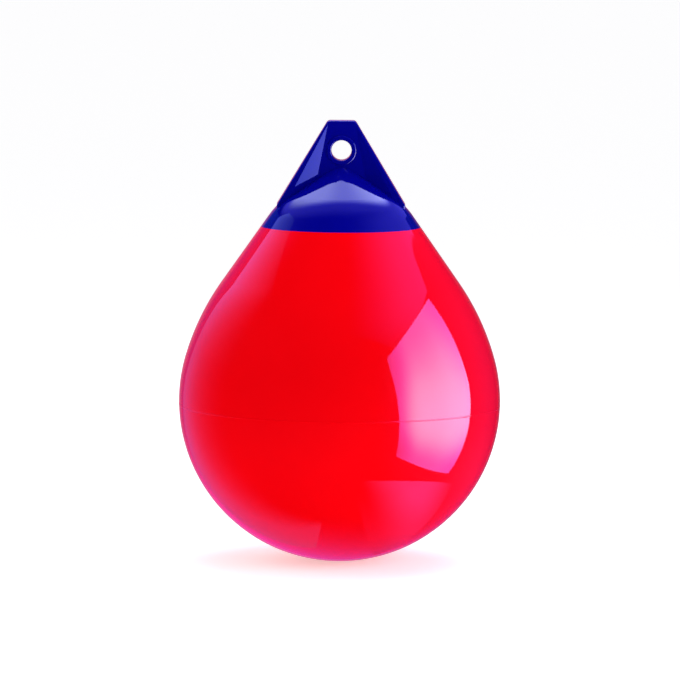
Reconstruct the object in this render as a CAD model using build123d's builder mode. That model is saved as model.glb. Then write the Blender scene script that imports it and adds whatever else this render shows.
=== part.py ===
"""Inflatable vinyl mooring buoy: a teardrop skin, a moulded rope hold on its top and a plugged air valve.

Millimetres, +Z up. The origin is on the buoy's axis at the waterline, where it floats light with its eye up.
The rope eye is bored along Y, and the valve is on the back of the rope hold, towards +Y.
"""
import os
from math import cos, radians, sin, tan

from build123d import *

# Inflated teardrop
belly_radius = 215.0  # half the greatest width
belly_rise = 16.0  # degrees that the belly's arc runs on above the widest circle
flank_radius = 335.0  # flatter arc between the belly and the cone
cone_angle = 35.0  # degrees between the cone's side and the axis
skin_wall = 3.0
draft = 66.5  # depth of the lowest point below the waterline

# Bead left where the halves of the skin's mould meet
seam_drop = 4.7  # below the widest circle
seam_bead_radius = 1.4
seam_bead_height = 0.3  # of which stands out of the skin

# Rope hold's dome, with heights measured from its lower edge, the collar
collar_radius = 106.6
dome_wall = 9.0
bond_gap = 0.3  # between the curved faces of the dome and of its seat on the skin
shoulder_height = 15.0
shoulder_radius = 100.0
crown_slope = 34.0  # degrees from level
apex_radius = 16.0

# Rope eye
eye_radius = 13.5
eye_mouth_radius = 2.0
boss_wall = 6.5
boss_above_root = 2.3  # from the foot of the web's panel to the boss
boss_half_depth = 14.0
boss_edge_radius = 2.0

# Rope hold's web
web_above_boss = 19.6
web_top_half_width = 18.4
web_corner_radius = 6.0
root_height = 30.0  # where the slanted flanges end, in line with the cone's side
web_sink = 20.0  # how far the web runs down inside the dome from its root
web_top_half_depth = 10.9
web_root_half_depth = 23.3
web_edge_radius = 3.0

# Recessed panel in each face of the web, and the sloped facets at its sides
panel_half_depth = 11.5
panel_top_half_width = 19.7
panel_top_drop = 12.0  # below the web's top
panel_side_lean = 11.0  # degrees from upright
facet_slope = 18.8  # degrees out of the panel

# Air valve
valve_height = 13.0  # of its middle above the collar, along the axis
valve_fit = 0.2  # play of the bush in its seat
flange_radius = 13.0
flange_thickness = 3.0
flange_proud = 1.0  # of the dome's side
flange_edge_radius = 0.8
barrel_radius = 10.0
barrel_length = 20.0
head_radius = 8.0
head_height = 3.0
head_play = 0.4
head_edge_radius = 0.6
stem_radius = 4.6
stem_length = 12.0
stem_chamfer = 0.8
rib_height = 0.5  # of each sealing rib out of the stem
rib_play = 0.1  # of each rib in the bush's bore
rib_depths = (3.0, 6.0, 9.0)  # of the ribs' middles below the head
rib_width = 1.2
grip_length = 11.0
grip_width = 2.4
grip_height = 3.0

# Places that follow from the sizes
belly_z = belly_radius - draft
arc_step = belly_radius - flank_radius
cone_foot_radius = arc_step * cos(radians(belly_rise)) + flank_radius * cos(radians(cone_angle))
cone_foot_z = belly_z + arc_step * sin(radians(belly_rise)) + flank_radius * sin(radians(cone_angle))
collar_z = cone_foot_z + (cone_foot_radius - collar_radius) / tan(radians(cone_angle))
seat_inset = dome_wall + bond_gap
boss_radius = eye_radius + boss_wall


def cone_radius(height):
    """Returns the cone's outer radius at a height above the collar."""
    return collar_radius - height * tan(radians(cone_angle))


# Heights of the panel's foot on the dome, of the eye and of the web above the collar
turn_top = shoulder_height + shoulder_radius * (cos(radians(crown_slope)) - sin(radians(cone_angle)))
turn_reach = shoulder_radius * (cos(radians(cone_angle)) - sin(radians(crown_slope)))
crown_reach = cone_radius(shoulder_height) - turn_reach - panel_half_depth
panel_foot_height = turn_top + crown_reach * tan(radians(crown_slope))
eye_height = panel_foot_height + boss_above_root + boss_radius
web_height = eye_height + boss_radius + web_above_boss


def half_teardrop(inset):
    """Adds half of the section through skin and dome to the open sketch, moved in by inset."""
    shoulder = (
        cone_radius(shoulder_height) - inset * cos(radians(cone_angle)),
        collar_z + shoulder_height - inset * sin(radians(cone_angle)),
    )
    with BuildLine() as edge:
        belly = JernArc((0, belly_z - belly_radius + inset), (1, 0), belly_radius - inset, 90 + belly_rise)
        flank = JernArc(belly @ 1, belly % 1, flank_radius - inset, cone_angle - belly_rise)
        cone = Line(flank @ 1, shoulder)
        turn = JernArc(cone @ 1, cone % 1, shoulder_radius - inset, 90 - cone_angle - crown_slope)
        apex_run = (apex_radius - inset) * tan(radians(crown_slope))
        crown_run = (turn @ 1).X / cos(radians(crown_slope)) - apex_run
        crown = Line(turn @ 1, turn @ 1 + (turn % 1) * crown_run)
        apex = JernArc(crown @ 1, crown % 1, apex_radius - inset, crown_slope)
        Line(apex @ 1, belly @ 0)
    make_face(edge.edges())


def clear_above(height):
    """Cuts away all of the open sketch that is above a height in the buoy's frame."""
    with Locations((0, height)):
        Rectangle(4 * belly_radius, 4 * belly_radius, align=(Align.CENTER, Align.MIN), mode=Mode.SUBTRACT)


# Valve's plane: on the back of the dome's cone, with its normal square to the cone
valve_plane = Plane(
    origin=(0, cone_radius(valve_height), collar_z + valve_height),
    x_dir=(1, 0, 0),
    z_dir=(0, cos(radians(cone_angle)), sin(radians(cone_angle))),
)
bush_top = valve_plane.offset(flange_proud)
head_seat = bush_top.offset(-head_height)
along_valve = Axis(valve_plane.origin, valve_plane.z_dir)

# Skin: one closed shell, stepped in at a flat ledge to carry the dome
with BuildSketch(Plane.XZ) as skin_outside:
    half_teardrop(0)
    clear_above(collar_z)
    half_teardrop(seat_inset)

with BuildSketch(Plane.XZ) as air_space:
    half_teardrop(skin_wall)
    clear_above(collar_z - skin_wall)
    half_teardrop(seat_inset + skin_wall)

with BuildPart() as body_skin:
    revolve(skin_outside.sketch, axis=Axis.Z)
    with BuildSketch(Plane.XZ) as seam_bead:
        with Locations((belly_radius - seam_bead_radius + seam_bead_height, belly_z - seam_drop)):
            Circle(seam_bead_radius)
    revolve(axis=Axis.Z)
    revolve(air_space.sketch, axis=Axis.Z, mode=Mode.SUBTRACT)
    with Locations(valve_plane):
        Hole(barrel_radius + valve_fit, depth=barrel_length)

# Recess of the web's front face: its panel and one facet at each side
panel_side = Vector(sin(radians(panel_side_lean)), 0, -cos(radians(panel_side_lean)))
panel_outward = Vector(cos(radians(panel_side_lean)), 0, sin(radians(panel_side_lean)))
facet = Plane(
    origin=(panel_top_half_width, -panel_half_depth, collar_z + web_height - panel_top_drop),
    x_dir=panel_side,
    z_dir=Vector(0, -1, 0) * cos(radians(facet_slope)) - panel_outward * sin(radians(facet_slope)),
)
with BuildPart() as recess:
    with BuildSketch(Plane.XZ.offset(panel_half_depth)):
        with Locations((0, collar_z)):
            Rectangle(collar_radius, 2 * web_height, align=(Align.MIN, Align.MIN))
    extrude(amount=web_root_half_depth)
    split(bisect_by=facet, keep=Keep.TOP)
    mirror(about=Plane.YZ)

# Web: a wedge that thickens downwards, recessed in both faces
root_half_width = cone_radius(root_height)
depth_growth = (web_root_half_depth - web_top_half_depth) / (web_height - root_height)
sunk_height = root_height - web_sink
sunk_half_depth = web_top_half_depth + depth_growth * (web_height - sunk_height)
web_top_z = collar_z + web_height
sunk_z = collar_z + sunk_height
with BuildPart() as web:
    with BuildSketch(Plane.XZ) as front_outline:
        with BuildLine():
            Polyline(
                (0, web_top_z),
                (web_top_half_width, web_top_z),
                (root_half_width, collar_z + root_height),
                (root_half_width, sunk_z),
                (0, sunk_z),
            )
            mirror(about=Plane.YZ)
        make_face()
        fillet(front_outline.vertices().group_by(Axis.Y)[-1], radius=web_corner_radius)
    extrude(amount=sunk_half_depth, both=True)
    with BuildSketch(Plane.YZ):
        with BuildLine():
            Polyline(
                (0, web_top_z),
                (web_top_half_depth, web_top_z),
                (sunk_half_depth, sunk_z),
                (0, sunk_z),
            )
            mirror(about=Plane.YZ)
        make_face()
    extrude(amount=root_half_width, both=True, mode=Mode.INTERSECT)
    faces_front_to_back = web.faces().sort_by(Axis.Y)
    rim_edges = faces_front_to_back[0].edges() + faces_front_to_back[-1].edges()
    fillet(rim_edges.filter_by_position(Axis.Z, sunk_z, web_top_z, (False, True)), radius=web_edge_radius)
    add(recess.part, mode=Mode.SUBTRACT)
    add(mirror(recess.part, about=Plane.XZ, mode=Mode.PRIVATE), mode=Mode.SUBTRACT)

# Boss round the eye, across the web
eye_centre = (0, collar_z + eye_height)
with BuildPart() as boss:
    with BuildSketch(Plane.XZ):
        with Locations(eye_centre):
            Circle(boss_radius)
    extrude(amount=boss_half_depth, both=True)
    fillet(boss.faces().filter_by(Axis.Y).edges(), radius=boss_edge_radius)

# Rope hold: the web and its boss on the dome, hollow to fit over the skin
with BuildPart() as rope_hold:
    with BuildSketch(Plane.XZ):
        half_teardrop(0)
    revolve(axis=Axis.Z)
    split(bisect_by=Plane.XY.offset(collar_z), keep=Keep.TOP)
    add(web.part)
    add(boss.part)
    with BuildSketch(Plane.XZ):
        with Locations(eye_centre):
            Circle(eye_radius)
    extrude(amount=web_root_half_depth, both=True, mode=Mode.SUBTRACT)
    fillet(rope_hold.edges(Select.NEW), radius=eye_mouth_radius)
    with BuildSketch(Plane.XZ):
        half_teardrop(dome_wall)
    revolve(axis=Axis.Z, mode=Mode.SUBTRACT)
    with Locations(valve_plane):
        CounterBoreHole(
            barrel_radius + valve_fit,
            flange_radius + valve_fit,
            flange_thickness - flange_proud,
            depth=barrel_length,
        )

# Valve's bush: a flanged barrel bored for the plug's stem, with a seat for its head
with BuildPart(bush_top) as valve_body:
    Cylinder(flange_radius, flange_thickness, align=(Align.CENTER, Align.CENTER, Align.MAX))
    fillet(valve_body.edges().group_by(along_valve)[-1], radius=flange_edge_radius)
    Cylinder(barrel_radius, flange_thickness + barrel_length, align=(Align.CENTER, Align.CENTER, Align.MAX))
    CounterBoreHole(stem_radius + rib_height + rib_play, head_radius + head_play, head_height)

# Valve's plug: a round head with a grip across it, on a stem with sealing ribs
with BuildPart(head_seat) as valve_plug:
    Cylinder(head_radius, head_height, align=(Align.CENTER, Align.CENTER, Align.MIN))
    fillet(valve_plug.edges().group_by(along_valve)[-1], radius=head_edge_radius)
    Cylinder(stem_radius, stem_length, align=(Align.CENTER, Align.CENTER, Align.MAX))
    chamfer(valve_plug.edges().group_by(along_valve)[0], length=stem_chamfer)
    with Locations(*[(0, 0, -depth) for depth in rib_depths]):
        Cylinder(stem_radius + rib_height, rib_width)
    with BuildSketch(head_seat.offset(head_height)):
        SlotOverall(grip_length, grip_width)
    extrude(amount=grip_height)

os.makedirs("parts", exist_ok=True)
for label, built in (
    ("body_skin", body_skin),
    ("rope_hold", rope_hold),
    ("valve_body", valve_body),
    ("valve_plug", valve_plug),
):
    built.part.label = label
    export_step(built.part, f"parts/{label}.step")
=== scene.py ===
"""Inflatable vinyl mooring buoy: a glossy red skin, a blue moulded rope hold and a plugged air valve.

Metres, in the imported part's frame: +Z up through the rope eye, the waterline at z = 0, the valve towards +Y.
"""
import math

import bmesh
import bpy
from mathutils import Matrix, Vector


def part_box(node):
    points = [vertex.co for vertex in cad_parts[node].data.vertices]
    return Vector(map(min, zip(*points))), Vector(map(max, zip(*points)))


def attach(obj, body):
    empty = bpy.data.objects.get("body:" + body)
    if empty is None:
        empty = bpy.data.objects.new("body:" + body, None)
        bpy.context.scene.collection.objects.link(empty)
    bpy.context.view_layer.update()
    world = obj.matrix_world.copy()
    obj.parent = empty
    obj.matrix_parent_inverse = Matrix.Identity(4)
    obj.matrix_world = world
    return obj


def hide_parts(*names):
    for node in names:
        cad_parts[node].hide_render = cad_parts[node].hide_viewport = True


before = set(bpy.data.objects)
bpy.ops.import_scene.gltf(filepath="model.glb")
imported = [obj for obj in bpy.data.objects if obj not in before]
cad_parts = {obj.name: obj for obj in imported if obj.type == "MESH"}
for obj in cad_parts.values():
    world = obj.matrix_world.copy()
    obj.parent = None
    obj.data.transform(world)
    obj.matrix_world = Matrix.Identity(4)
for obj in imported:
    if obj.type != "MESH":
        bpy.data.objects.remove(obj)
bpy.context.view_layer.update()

# Body skin
# One shell of soft PVC, cast in a two-part mould that polished it all over, and blown up tight.
# The parting bead runs round just below the widest circle. The rope hold is bonded on the ledge at its top.
belly_radius = 0.215
belly_rise = math.radians(16)
flank_radius = 0.335
cone_angle = math.radians(35)
collar_radius = 0.1066
skin_wall = 0.003
ledge_depth = 0.0125
seam_drop = 0.0047
bead_radius = 0.0014
bead_height = 0.0003
crease_angle = math.radians(30)
weld_distance = 1e-6
turns_round = 256
belly_steps = 48
bead_steps = 8
above_bead_steps = 10
flank_steps = 14
inner_flank_steps = 6
inner_belly_steps = 20

skin_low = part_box("body_skin")[0]
belly_centre = Vector((0, 0, skin_low.z + belly_radius))


def draw_arc(bm, tip, centre, angle, steps):
    """Spins the profile's last point about a centre in the XZ plane, and returns the arc's own last point."""
    made = bmesh.ops.spin(bm, geom=[tip], cent=centre, axis=(0, -1, 0), angle=angle, steps=steps)
    return made["geom_last"][0]


def draw_line(bm, tip, end):
    """Extrudes the profile's last point to a place in the XZ plane, and returns the line's end."""
    made = bmesh.ops.extrude_vert_indiv(bm, verts=[tip])
    made["verts"][0].co = end
    return made["verts"][0]


def turn_round(bm, steps):
    """Spins the whole profile about the buoy's axis into a closed skin with its faces outwards."""
    bmesh.ops.spin(bm, geom=bm.verts[:] + bm.edges[:], cent=(0, 0, 0), axis=(0, 0, 1), angle=math.tau,
                   steps=steps, use_merge=True)
    bmesh.ops.remove_doubles(bm, verts=bm.verts[:], dist=weld_distance)
    bmesh.ops.recalc_face_normals(bm, faces=bm.faces[:])


def finish_mesh(bm, name):
    """Makes a smooth-shaded object at the origin from a bmesh."""
    mesh = bpy.data.meshes.new(name)
    bm.to_mesh(mesh)
    bm.free()
    mesh.shade_smooth()
    piece = bpy.data.objects.new(name, mesh)
    bpy.context.scene.collection.objects.link(piece)
    return piece


bead_centre = belly_centre + Vector((belly_radius - bead_radius + bead_height, 0, -seam_drop))
bead_reach = bead_centre - belly_centre
bead_direction = math.atan2(bead_reach.z, bead_reach.x)
bead_turn = math.acos((belly_radius**2 - bead_reach.length_squared - bead_radius**2)
                      / (2 * bead_reach.length * bead_radius))
bead_share = math.asin(bead_radius * math.sin(bead_turn) / belly_radius)
flank_shift = Vector((math.cos(belly_rise), 0, math.sin(belly_rise)))
cone_normal = Vector((math.cos(cone_angle), 0, math.sin(cone_angle)))
flank_centre = belly_centre + (belly_radius - flank_radius) * flank_shift
cone_foot = flank_centre + flank_radius * cone_normal
collar_z = cone_foot.z + (cone_foot.x - collar_radius) / math.tan(cone_angle)
ledge_radius = collar_radius - ledge_depth

skin_mesh = bmesh.new()
tip = skin_mesh.verts.new(belly_centre - Vector((0, 0, belly_radius)))
tip = draw_arc(skin_mesh, tip, belly_centre, math.pi / 2 + bead_direction - bead_share, belly_steps)
tip = draw_arc(skin_mesh, tip, bead_centre, 2 * bead_turn, bead_steps)
tip = draw_arc(skin_mesh, tip, belly_centre, belly_rise - bead_direction - bead_share, above_bead_steps)
tip = draw_arc(skin_mesh, tip, flank_centre, cone_angle - belly_rise, flank_steps)
tip = draw_line(skin_mesh, tip, (collar_radius, 0, collar_z))
tip = draw_line(skin_mesh, tip, (ledge_radius, 0, collar_z))
tip = draw_line(skin_mesh, tip, (ledge_radius, 0, collar_z - skin_wall))
tip = draw_line(skin_mesh, tip, cone_foot - skin_wall * cone_normal)
tip = draw_arc(skin_mesh, tip, flank_centre, belly_rise - cone_angle, inner_flank_steps)
tip = draw_arc(skin_mesh, tip, belly_centre, -belly_rise - math.pi / 2, inner_belly_steps)
turn_round(skin_mesh, turns_round)
body_skin = finish_mesh(skin_mesh, "inflated_skin")
body_skin.data.set_sharp_from_angle(angle=crease_angle)


def hex_linear(code):
    """Turns an sRGB hex colour into the linear colour that shaders take."""
    channels = [int(code[i:i + 2], 16) / 255 for i in (0, 2, 4)]
    return [c / 12.92 if c <= 0.04045 else ((c + 0.055) / 1.055) ** 2.4 for c in channels] + [1.0]


def add_node(tree, kind, inputs=(), **settings):
    """Adds a node with these settings, and fills its inputs from (input, value or source socket) pairs."""
    node = tree.nodes.new(kind)
    for name, value in settings.items():
        setattr(node, name, value)
    for name, source in inputs:
        if isinstance(source, bpy.types.NodeSocket):
            tree.links.new(source, node.inputs[name])
        else:
            node.inputs[name].default_value = source
    return node


# Plasticised PVC, cast against a polished mould: even deep red, with a wet gloss that shows lamps sharply.
# The pigment clouds by a shade over a hand's breadth, and the gloss has a faint ripple.
cloud_size = 0.09
ripple_size = 0.035
ripple_depth = 0.0002
red_vinyl = bpy.data.materials.new("red_plasticised_pvc")
red_vinyl.use_nodes = True
tree = red_vinyl.node_tree
shader = tree.nodes["Principled BSDF"]
place = add_node(tree, "ShaderNodeTexCoord").outputs["Object"]
clouds = add_node(tree, "ShaderNodeTexNoise", [("Vector", place), ("Scale", 1 / cloud_size), ("Detail", 2.0)])
pigment = add_node(tree, "ShaderNodeValToRGB", [("Fac", clouds.outputs["Fac"])])
pigment.color_ramp.elements[0].color = hex_linear("e40009")
pigment.color_ramp.elements[1].color = hex_linear("ec020d")
ripple = add_node(tree, "ShaderNodeTexNoise", [
    ("Vector", place), ("Scale", 1 / ripple_size), ("Detail", 1.0)])
relief = add_node(tree, "ShaderNodeBump", [
    ("Height", ripple.outputs["Fac"]), ("Strength", 0.1), ("Distance", ripple_depth)])
tree.links.new(pigment.outputs["Color"], shader.inputs["Base Color"])
tree.links.new(relief.outputs["Normal"], shader.inputs["Normal"])
shader.inputs["Roughness"].default_value = 0.04
shader.inputs["IOR"].default_value = 1.53
body_skin.data.materials.append(red_vinyl)
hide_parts("body_skin")
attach(body_skin, "buoy")

# Rope hold
# One moulding of hard PVC: a dome that carries on the skin's cone, and a recessed web round the eye.
# It is bonded over the skin's top, with its lower edge flush on the ledge.
rope_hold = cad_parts["rope_hold"]

# Hard PVC with the mould's own polish: deep ultramarine, with a gloss that mirrors the web in the dome.
# The dye varies by a shade over a thumb's breadth, and the surface sinks a little in places.
# The shading of the web's sloped facets is tipped about three degrees more to the middle, to catch the light.
dye_size = 0.03
sink_size = 0.022
sink_depth = 0.0001
facet_tip = (1.17, 1, 1)
web_steps = (
    ("depth", 0.0245, 0.0235, 0.0, 1.0),
    ("Z", 0.42, 0.44, 0.0, 1.0),
)


def smooth_steps(tree, sources, steps):
    """Multiplies smooth steps of named values, one for each row of steps: name, start, end, low, high."""
    product = None
    for name, start, end, low, high in steps:
        step = add_node(tree, "ShaderNodeMapRange", [
            ("Value", sources[name]), ("From Min", start), ("From Max", end),
            ("To Min", low), ("To Max", high)], interpolation_type="SMOOTHSTEP").outputs["Result"]
        if product is None:
            product = step
        else:
            both = add_node(tree, "ShaderNodeMath", [(0, product), (1, step)], operation="MULTIPLY")
            product = both.outputs["Value"]
    return product


blue_vinyl = bpy.data.materials.new("blue_moulded_pvc")
blue_vinyl.use_nodes = True
tree = blue_vinyl.node_tree
shader = tree.nodes["Principled BSDF"]
place = add_node(tree, "ShaderNodeTexCoord").outputs["Object"]
clouds = add_node(tree, "ShaderNodeTexNoise", [("Vector", place), ("Scale", 1 / dye_size), ("Detail", 2.0)])
pigment = add_node(tree, "ShaderNodeValToRGB", [("Fac", clouds.outputs["Fac"])])
pigment.color_ramp.elements[0].color = hex_linear("02027b")
pigment.color_ramp.elements[1].color = hex_linear("030384")
sinks = add_node(tree, "ShaderNodeTexNoise", [("Vector", place), ("Scale", 1 / sink_size), ("Detail", 1.0)])
axes = add_node(tree, "ShaderNodeSeparateXYZ", [("Vector", place)]).outputs
depth = add_node(tree, "ShaderNodeMath", [(0, axes["Y"])], operation="ABSOLUTE").outputs["Value"]
on_web = smooth_steps(tree, {"depth": depth, "Z": axes["Z"]}, web_steps)
face = add_node(tree, "ShaderNodeNewGeometry").outputs["Normal"]
tipped = add_node(tree, "ShaderNodeVectorMath", [(0, face), (1, facet_tip)], operation="MULTIPLY")
vector_a, vector_b, vector_result = 4, 5, 1  # places of the Mix node's vector sockets
blend = add_node(tree, "ShaderNodeMix", [
    (0, on_web), (vector_a, face), (vector_b, tipped.outputs["Vector"])], data_type="VECTOR")
sunk = add_node(tree, "ShaderNodeVectorMath", [(0, blend.outputs[vector_result])], operation="NORMALIZE")
relief = add_node(tree, "ShaderNodeBump", [
    ("Height", sinks.outputs["Fac"]), ("Normal", sunk.outputs["Vector"]), ("Strength", 0.1),
    ("Distance", sink_depth)])
polish = add_node(tree, "ShaderNodeMapRange", [
    ("Value", clouds.outputs["Fac"]), ("To Min", 0.03), ("To Max", 0.06)])
tree.links.new(pigment.outputs["Color"], shader.inputs["Base Color"])
tree.links.new(relief.outputs["Normal"], shader.inputs["Normal"])
tree.links.new(polish.outputs["Result"], shader.inputs["Roughness"])
shader.inputs["IOR"].default_value = 1.53
rope_hold.data.materials.clear()
rope_hold.data.materials.append(blue_vinyl)

# Valve bush
# A flanged ring of natural nylon, moulded, pressed into the dome's back and bonded under its flange.
# Only its flange and the rim of the plug's seat show.
valve_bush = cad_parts["valve_body"]
nylon_cloud_size = 0.008
nylon_grain_depth = 0.0001


def moulded_nylon(name, dark, light, low_rough, high_rough, grain_size):
    """Makes a nylon with cloudy colour and the fine spark-eroded grain of its mould."""
    nylon = bpy.data.materials.new(name)
    nylon.use_nodes = True
    tree = nylon.node_tree
    shader = tree.nodes["Principled BSDF"]
    place = add_node(tree, "ShaderNodeTexCoord").outputs["Object"]
    clouds = add_node(tree, "ShaderNodeTexNoise", [
        ("Vector", place), ("Scale", 1 / nylon_cloud_size), ("Detail", 3.0)])
    tone = add_node(tree, "ShaderNodeValToRGB", [("Fac", clouds.outputs["Fac"])])
    tone.color_ramp.elements[0].color = hex_linear(dark)
    tone.color_ramp.elements[1].color = hex_linear(light)
    grain = add_node(tree, "ShaderNodeTexNoise", [
        ("Vector", place), ("Scale", 1 / grain_size), ("Detail", 2.0)])
    relief = add_node(tree, "ShaderNodeBump", [
        ("Height", grain.outputs["Fac"]), ("Strength", 0.3), ("Distance", nylon_grain_depth)])
    polish = add_node(tree, "ShaderNodeMapRange", [
        ("Value", clouds.outputs["Fac"]), ("To Min", low_rough), ("To Max", high_rough)])
    tree.links.new(tone.outputs["Color"], shader.inputs["Base Color"])
    tree.links.new(relief.outputs["Normal"], shader.inputs["Normal"])
    tree.links.new(polish.outputs["Result"], shader.inputs["Roughness"])
    shader.inputs["IOR"].default_value = 1.53
    return nylon


# Natural nylon: milky white, a little yellow in places, with a satin grain of under a millimetre.
natural_nylon = moulded_nylon("natural_nylon", "c9c6ba", "d8d6cd", low_rough=0.32, high_rough=0.45,
                              grain_size=0.0007)
valve_bush.data.materials.clear()
valve_bush.data.materials.append(natural_nylon)

# Valve plug
# A push-in stopper of black nylon: a round head with a grip across it, on a stem with three sealing ribs.
# It is moulded in one, and held in the bush by its ribs.
valve_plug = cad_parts["valve_plug"]

# Black nylon: charcoal with a dull satin face that fingers have polished in places.
black_nylon = moulded_nylon("black_nylon", "17181a", "222326", low_rough=0.3, high_rough=0.5,
                            grain_size=0.0006)
valve_plug.data.materials.clear()
valve_plug.data.materials.append(black_nylon)

# Studio floor
# A wide sheet of white paint under the buoy, which glows a little like a light table and keeps its shadow.
# The buoy's gloss doesn't show it.
floor_half = 30
floor_middle = (0, 15, skin_low.z)
floor_glow = 0.4
camera_glow = 0.08  # more, for the camera alone
floor_mesh = bmesh.new()
bmesh.ops.create_grid(floor_mesh, x_segments=1, y_segments=1, size=floor_half,
                      matrix=Matrix.Translation(floor_middle))
studio_floor = finish_mesh(floor_mesh, "studio_floor")
studio_floor.visible_glossy = False
white_paint = bpy.data.materials.new("white_floor_paint")
white_paint.use_nodes = True
tree = white_paint.node_tree
shader = tree.nodes["Principled BSDF"]
shader.inputs["Base Color"].default_value = hex_linear("f4f4f4")
shader.inputs["Roughness"].default_value = 0.9
shader.inputs["Emission Color"].default_value = (1, 1, 1, 1)
rays = add_node(tree, "ShaderNodeLightPath").outputs
seen = add_node(tree, "ShaderNodeMath", [(0, rays["Is Camera Ray"]), (1, camera_glow), (2, floor_glow)],
                operation="MULTIPLY_ADD")
tree.links.new(seen.outputs["Value"], shader.inputs["Emission Strength"])
studio_floor.data.materials.append(white_paint)

# Side softbox
# A lamp behind cloth to the right, brightest and palest in its middle, that the skin shows as its highlight.
# Only glossy rays see it and the cards below, whose blue tint makes their mirror images on the red pink.
softbox_corners = (
    (0.759, 0.073, 0.804),
    (0.633, -0.895, 0.753),
    (0.78, -0.87, -0.513),
    (0.906, 0.098, -0.461),
)
softbox_steps = (
    ("Y", -0.95, -0.5, 0.46, 1.0),
    ("Y", -0.2, 0.15, 1.0, 0.8),
    ("Z", -0.45, 0.05, 0.55, 1.0),
    ("Z", 0.1, 0.8, 1.0, 0.6),
)
softbox_dim = (0.12, 0.16, 1, 1)
softbox_bright = (0.6, 0.52, 1, 1)
softbox_strength = 13.0
colour_a, colour_b, colour_result = 6, 7, 2  # places of the Mix node's colour sockets


def flat_sheet(corners):
    """Starts a bmesh with one flat face between these corners."""
    bm = bmesh.new()
    bm.faces.new([bm.verts.new(corner) for corner in corners])
    return bm


def hang_card(bm, name, paint):
    """Makes a card of a bmesh that only glossy rays see."""
    card = finish_mesh(bm, name)
    card.data.materials.append(paint)
    for kind in ("camera", "diffuse", "transmission", "volume_scatter", "shadow"):
        setattr(card, "visible_" + kind, False)


def glow_paint(name):
    """Starts a glowing paint, and returns it with its tree, its shader, its coordinates and their axes."""
    paint = bpy.data.materials.new(name)
    paint.use_nodes = True
    tree = paint.node_tree
    tree.nodes.remove(tree.nodes["Principled BSDF"])
    glow = add_node(tree, "ShaderNodeEmission")
    tree.links.new(glow.outputs["Emission"], tree.nodes["Material Output"].inputs["Surface"])
    place = add_node(tree, "ShaderNodeTexCoord").outputs["Object"]
    axes = add_node(tree, "ShaderNodeSeparateXYZ", [("Vector", place)]).outputs
    return paint, tree, glow, place, axes


softbox_paint, tree, glow, place, axes = glow_paint("softbox_cloth")
level = smooth_steps(tree, axes, softbox_steps)
whiter = smooth_steps(tree, {"level": level}, [("level", 0.45, 0.95, 0.0, 1.0)])
cloth = add_node(tree, "ShaderNodeMix", [(0, whiter), (colour_a, softbox_dim), (colour_b, softbox_bright)],
                 data_type="RGBA")
bulbs = add_node(tree, "ShaderNodeMath", [(0, level), (1, softbox_strength)], operation="MULTIPLY")
tree.links.new(cloth.outputs[colour_result], glow.inputs["Color"])
tree.links.new(bulbs.outputs["Value"], glow.inputs["Strength"])
hang_card(flat_sheet(softbox_corners), "side_softbox", softbox_paint)

# Overhead diffuser
# A round cloth with a lamp above it, over the buoy and behind it, that the dome's crown shows.
# Towards its rim it fades into the ceiling's own colour and strength.
diffuser_spot = Vector((-0.09, 1.304, 1.68))
diffuser_radius = 1.27
diffuser_bright_radius = 0.85
diffuser_corners = 72
diffuser_colour = (0.45, 0.48, 1, 1)
diffuser_steps = (("X", -1.2, -0.3, 2.4, 5.8),)
ceiling_colour = (0.13, 0.12, 1, 1)
ceiling_strength = 1.6
number_a, number_b, number_result = 2, 3, 0  # places of the Mix node's number sockets

diffuser_paint, tree, glow, place, axes = glow_paint("diffuser_cloth")
reach = add_node(tree, "ShaderNodeVectorMath", [(0, place), (1, diffuser_spot)], operation="DISTANCE")
inward = smooth_steps(tree, {"reach": reach.outputs["Value"]},
                      [("reach", diffuser_radius, diffuser_bright_radius, 0.0, 1.0)])
cloth = add_node(tree, "ShaderNodeMix", [
    (0, inward), (colour_a, ceiling_colour), (colour_b, diffuser_colour)], data_type="RGBA")
bulbs = add_node(tree, "ShaderNodeMix", [
    (0, inward), (number_a, ceiling_strength), (number_b, smooth_steps(tree, axes, diffuser_steps))])
tree.links.new(cloth.outputs[colour_result], glow.inputs["Color"])
tree.links.new(bulbs.outputs[number_result], glow.inputs["Strength"])
diffuser_mesh = bmesh.new()
bmesh.ops.create_circle(diffuser_mesh, cap_ends=True, segments=diffuser_corners, radius=diffuser_radius,
                        matrix=Matrix.Translation(diffuser_spot))
hang_card(diffuser_mesh, "overhead_diffuser", diffuser_paint)

# Ceiling
# Dim cloth that glows round the diffuser and towards the softbox, where it veils the red by the highlight.
# It hangs just above the diffuser.
ceiling_z = 1.7
ceiling_outline = ((-1.9, -1.7), (1.75, -1.7), (1.83, 0), (1.8, 0.78), (2.1, 1.95), (2.1, 3.2), (-1.9, 3.2))
spill_reach = 1.9
veil_steps = (
    ("X", 0.1, 1.5, 0.0, 1.0),
    ("Y", -2.2, 0.0, 0.0, 1.6),
)
ceiling_paint, tree, glow, place, axes = glow_paint("ceiling_cloth")
glow.inputs["Color"].default_value = ceiling_colour
reach = add_node(tree, "ShaderNodeVectorMath", [(0, place), (1, diffuser_spot)], operation="DISTANCE")
spill = smooth_steps(tree, {"reach": reach.outputs["Value"]},
                     [("reach", diffuser_radius, spill_reach, ceiling_strength, 0.0)])
brighter = add_node(tree, "ShaderNodeMath", [(0, spill), (1, smooth_steps(tree, axes, veil_steps))],
                    operation="MAXIMUM")
tree.links.new(brighter.outputs["Value"], glow.inputs["Strength"])
hang_card(flat_sheet([(x, y, ceiling_z) for x, y in ceiling_outline]), "ceiling", ceiling_paint)

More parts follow.
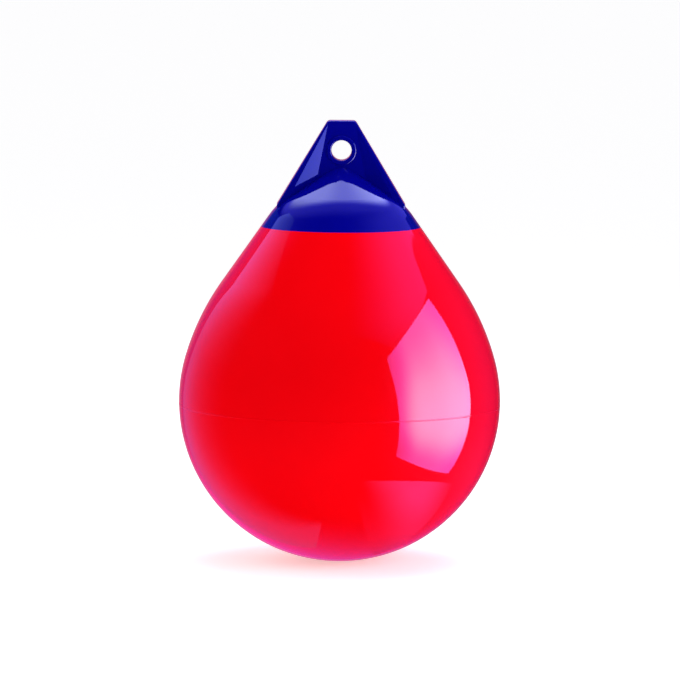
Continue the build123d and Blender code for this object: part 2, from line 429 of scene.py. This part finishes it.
# Left wall
# A cloth wall that is brighter upwards, as the square of its height, and towards its back edge.
# It runs far down so that its foot doesn't show.
wall_x = -1.4
wall_outline = ((-0.25, -10), (7.79, -10), (1.68, 0.8), (-0.25, 2.87))
wall_colour = (0.2, 0.25, 1, 1)
even_height = 0.5  # below it the wall is as bright as there
rise_gain = 0.8
rise_base = 0.3
wall_steps = (("Y", -0.25, 1.5, 0.0, 1.5),)
wall_paint, tree, glow, place, axes = glow_paint("wall_cloth")
glow.inputs["Color"].default_value = wall_colour
height = add_node(tree, "ShaderNodeMath", [(0, axes["Z"]), (1, even_height)], operation="MAXIMUM")
square = add_node(tree, "ShaderNodeMath", [(0, height.outputs["Value"]), (1, height.outputs["Value"])],
                  operation="MULTIPLY")
rise = add_node(tree, "ShaderNodeMath", [(0, square.outputs["Value"]), (1, rise_gain), (2, rise_base)],
                operation="MULTIPLY_ADD")
bulbs = add_node(tree, "ShaderNodeMath", [
    (0, rise.outputs["Value"]), (1, smooth_steps(tree, axes, wall_steps))], operation="MULTIPLY")
tree.links.new(bulbs.outputs["Value"], glow.inputs["Strength"])
hang_card(flat_sheet([(wall_x, y, z) for y, z in wall_outline]), "left_wall", wall_paint)

# Plate
# The part of a round sheet under the buoy, which glows as a painted pool of the softbox's light and is seen
# below the highlight.
# It lies just under the floor, which the gloss doesn't show.
plate_radius = 0.3
plate_z = skin_low.z - 0.0005
plate_start = math.radians(-82)
plate_turn = math.radians(76)
plate_arc_steps = 19
plate_corner = (0.05, -0.03, plate_z)
# Painted light: the pool's colour, and where its glow is brightest, towards the softbox, and faintest.
painted_pool_colour = (1, 0.17, 1, 1)
lit_side_steps = (
    ("X", 0.06, 0.2, 0.0, 2.5),
    ("Y", -0.02, -0.18, 0.0, 1.0),
)
far_side_steps = (("Y", -0.25, -0.03, 0.0, 0.4),)
# Painted light: the sheet's own glow stands in for the softbox lighting the floor.
painted_pool_paint, tree, glow, place, axes = glow_paint("painted_softbox_pool")
glow.inputs["Color"].default_value = painted_pool_colour
bulbs = add_node(tree, "ShaderNodeMath", [
    (0, smooth_steps(tree, axes, lit_side_steps)), (1, smooth_steps(tree, axes, far_side_steps))],
    operation="ADD")
tree.links.new(bulbs.outputs["Value"], glow.inputs["Strength"])
plate_mesh = bmesh.new()
arc_start = plate_radius * Vector((math.cos(plate_start), math.sin(plate_start), 0))
tip = plate_mesh.verts.new(arc_start + Vector((0, 0, plate_z)))
bmesh.ops.spin(plate_mesh, geom=[tip], cent=(0, 0, plate_z), axis=(0, 0, 1), angle=plate_turn,
               steps=plate_arc_steps)
plate_mesh.verts.new(plate_corner)
plate_mesh.faces.new(plate_mesh.verts[:])
hang_card(plate_mesh, "plate", painted_pool_paint)

# Room
# White to the camera, an even fill for colour, and to the gloss a dark room with paler walls.
# To the gloss it is blue above, pink below, and warm straight behind the buoy.
fill_level = 0.6
white_level = 1.0
back_wall_steps = (
    ("Y", -0.1, 0.9, 0.0, 0.4),
    ("X", -0.2, 0.4, 1.0, 0.3),
    ("Z", -0.1, -0.45, 1.0, 2.2),
)
right_wall_steps = (("X", 0.4, 0.95, 0.0, 0.3),)
lower_steps = (("Z", -0.1, -0.4, 0.0, 1.0),)
behind_steps = (("Y", 0.88, 0.99, 0.0, 1.0),)
upper_tint = (0.05, 0.12, 1, 1)
lower_tint = (1.2, 0.15, 1, 1)
behind_tint = (1.6, 0.45, 0.9, 1)
plain_white = (1, 1, 1, 1)
room = bpy.data.worlds.new("studio_room")
room.use_nodes = True
bpy.context.scene.world = room
tree = room.node_tree
backdrop = tree.nodes["Background"]
way = add_node(tree, "ShaderNodeTexCoord").outputs["Generated"]
axes = add_node(tree, "ShaderNodeSeparateXYZ", [("Vector", way)]).outputs
rays = add_node(tree, "ShaderNodeLightPath").outputs
gloss = add_node(tree, "ShaderNodeMath", [
    (0, smooth_steps(tree, axes, back_wall_steps)), (1, smooth_steps(tree, axes, right_wall_steps))],
    operation="ADD")
seen = add_node(tree, "ShaderNodeMath", [(0, rays["Is Camera Ray"]), (1, rays["Is Transmission Ray"])],
                operation="MAXIMUM")
fill = add_node(tree, "ShaderNodeMix", [
    (0, rays["Is Glossy Ray"]), (number_a, fill_level), (number_b, gloss.outputs["Value"])])
level = add_node(tree, "ShaderNodeMix", [
    (0, seen.outputs["Value"]), (number_a, fill.outputs[number_result]), (number_b, white_level)])
lower = add_node(tree, "ShaderNodeMix", [
    (0, smooth_steps(tree, axes, lower_steps)), (colour_a, upper_tint), (colour_b, lower_tint)],
    data_type="RGBA")
behind = add_node(tree, "ShaderNodeMix", [
    (0, smooth_steps(tree, axes, behind_steps)), (colour_a, lower.outputs[colour_result]),
    (colour_b, behind_tint)], data_type="RGBA")
tint = add_node(tree, "ShaderNodeMix", [
    (0, rays["Is Glossy Ray"]), (colour_a, plain_white), (colour_b, behind.outputs[colour_result])],
    data_type="RGBA")
tree.links.new(level.outputs[number_result], backdrop.inputs["Strength"])
tree.links.new(tint.outputs[colour_result], backdrop.inputs["Color"])

# Soft lamps
# Large square lamps that light the colours from the right, above and the left.
# The gloss doesn't show them.
lamp_aim = Vector((0, 0, 0.2))
for name, spot, size, power in (
    ("key_lamp", (1.6, -1.4, 0.9), 1.2, 14.0),
    ("top_lamp", (0.2, 0.3, 1.9), 1.6, 28.0),
    ("left_lamp", (-1.8, 0.3, 1.3), 1.4, 9.0),
):
    lamp = bpy.data.lights.new(name, "AREA")
    lamp.size = size
    lamp.energy = power
    holder = bpy.data.objects.new(name, lamp)
    bpy.context.scene.collection.objects.link(holder)
    holder.location = spot
    holder.rotation_euler = (lamp_aim - Vector(spot)).to_track_quat("-Z", "Y").to_euler()
    holder.visible_glossy = False

# Camera
# A long lens at about seven metres, a little above the buoy.
# It is rolled by the half degree that the buoy leans in the picture.
lens_spot = Vector((0, -7.0, 0.934))
lens_aim = Vector((0, 0, 0.2301))
lens_angle = math.radians(7.40)
lens_roll = math.radians(0.45)
camera_data = bpy.data.cameras.new("photo_camera")
camera_data.sensor_fit = "HORIZONTAL"
camera_data.angle = lens_angle
camera_data.clip_start = 0.1
camera_data.clip_end = 200
camera = bpy.data.objects.new("photo_camera", camera_data)
bpy.context.scene.collection.objects.link(camera)
camera.location = lens_spot
camera.rotation_euler = ((lens_aim - lens_spot).to_track_quat("-Z", "Y").to_matrix()
                         @ Matrix.Rotation(lens_roll, 3, "Z")).to_euler()
bpy.context.scene.camera = camera
bpy.context.scene.view_settings.view_transform = "Standard"
